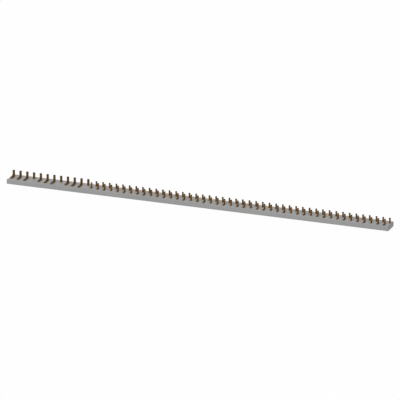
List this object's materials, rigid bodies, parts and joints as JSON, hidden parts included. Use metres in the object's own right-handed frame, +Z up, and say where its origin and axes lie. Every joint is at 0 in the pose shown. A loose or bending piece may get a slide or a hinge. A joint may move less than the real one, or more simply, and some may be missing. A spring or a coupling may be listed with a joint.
{
  "type": "comb busbar",
  "caption": "Grey insulated comb busbar with copper pins, feeding a row of four-pole devices and one-pole and neutral modules.",
  "frame": {"origin": "middle of the tray's underside", "axes": "+X along the bar towards the end with the last neutral pin, +Y from the tray's front wall to its rear wall, +Z up along the pins"},
  "size_m": [1.008, 0.0398, 0.029],
  "materials": {
    "tray_plastic": "satin extruded insulating plastic, mid grey",
    "cover_plastic": "satin punched insulating plastic, mid grey",
    "cap_plastic": "satin moulded insulating plastic, mid grey",
    "copper": "dull brown oxidised copper, stamped edges"
  },
  "bodies": {
    "root": {"tray": "tray_plastic", "cover": "cover_plastic", "comb_n": "copper", "comb_l1": "copper", "comb_l2": "copper", "comb_l3": "copper", "cap_left": "cap_plastic", "cap_right": "cap_plastic"}
  },
  "joints": []
}
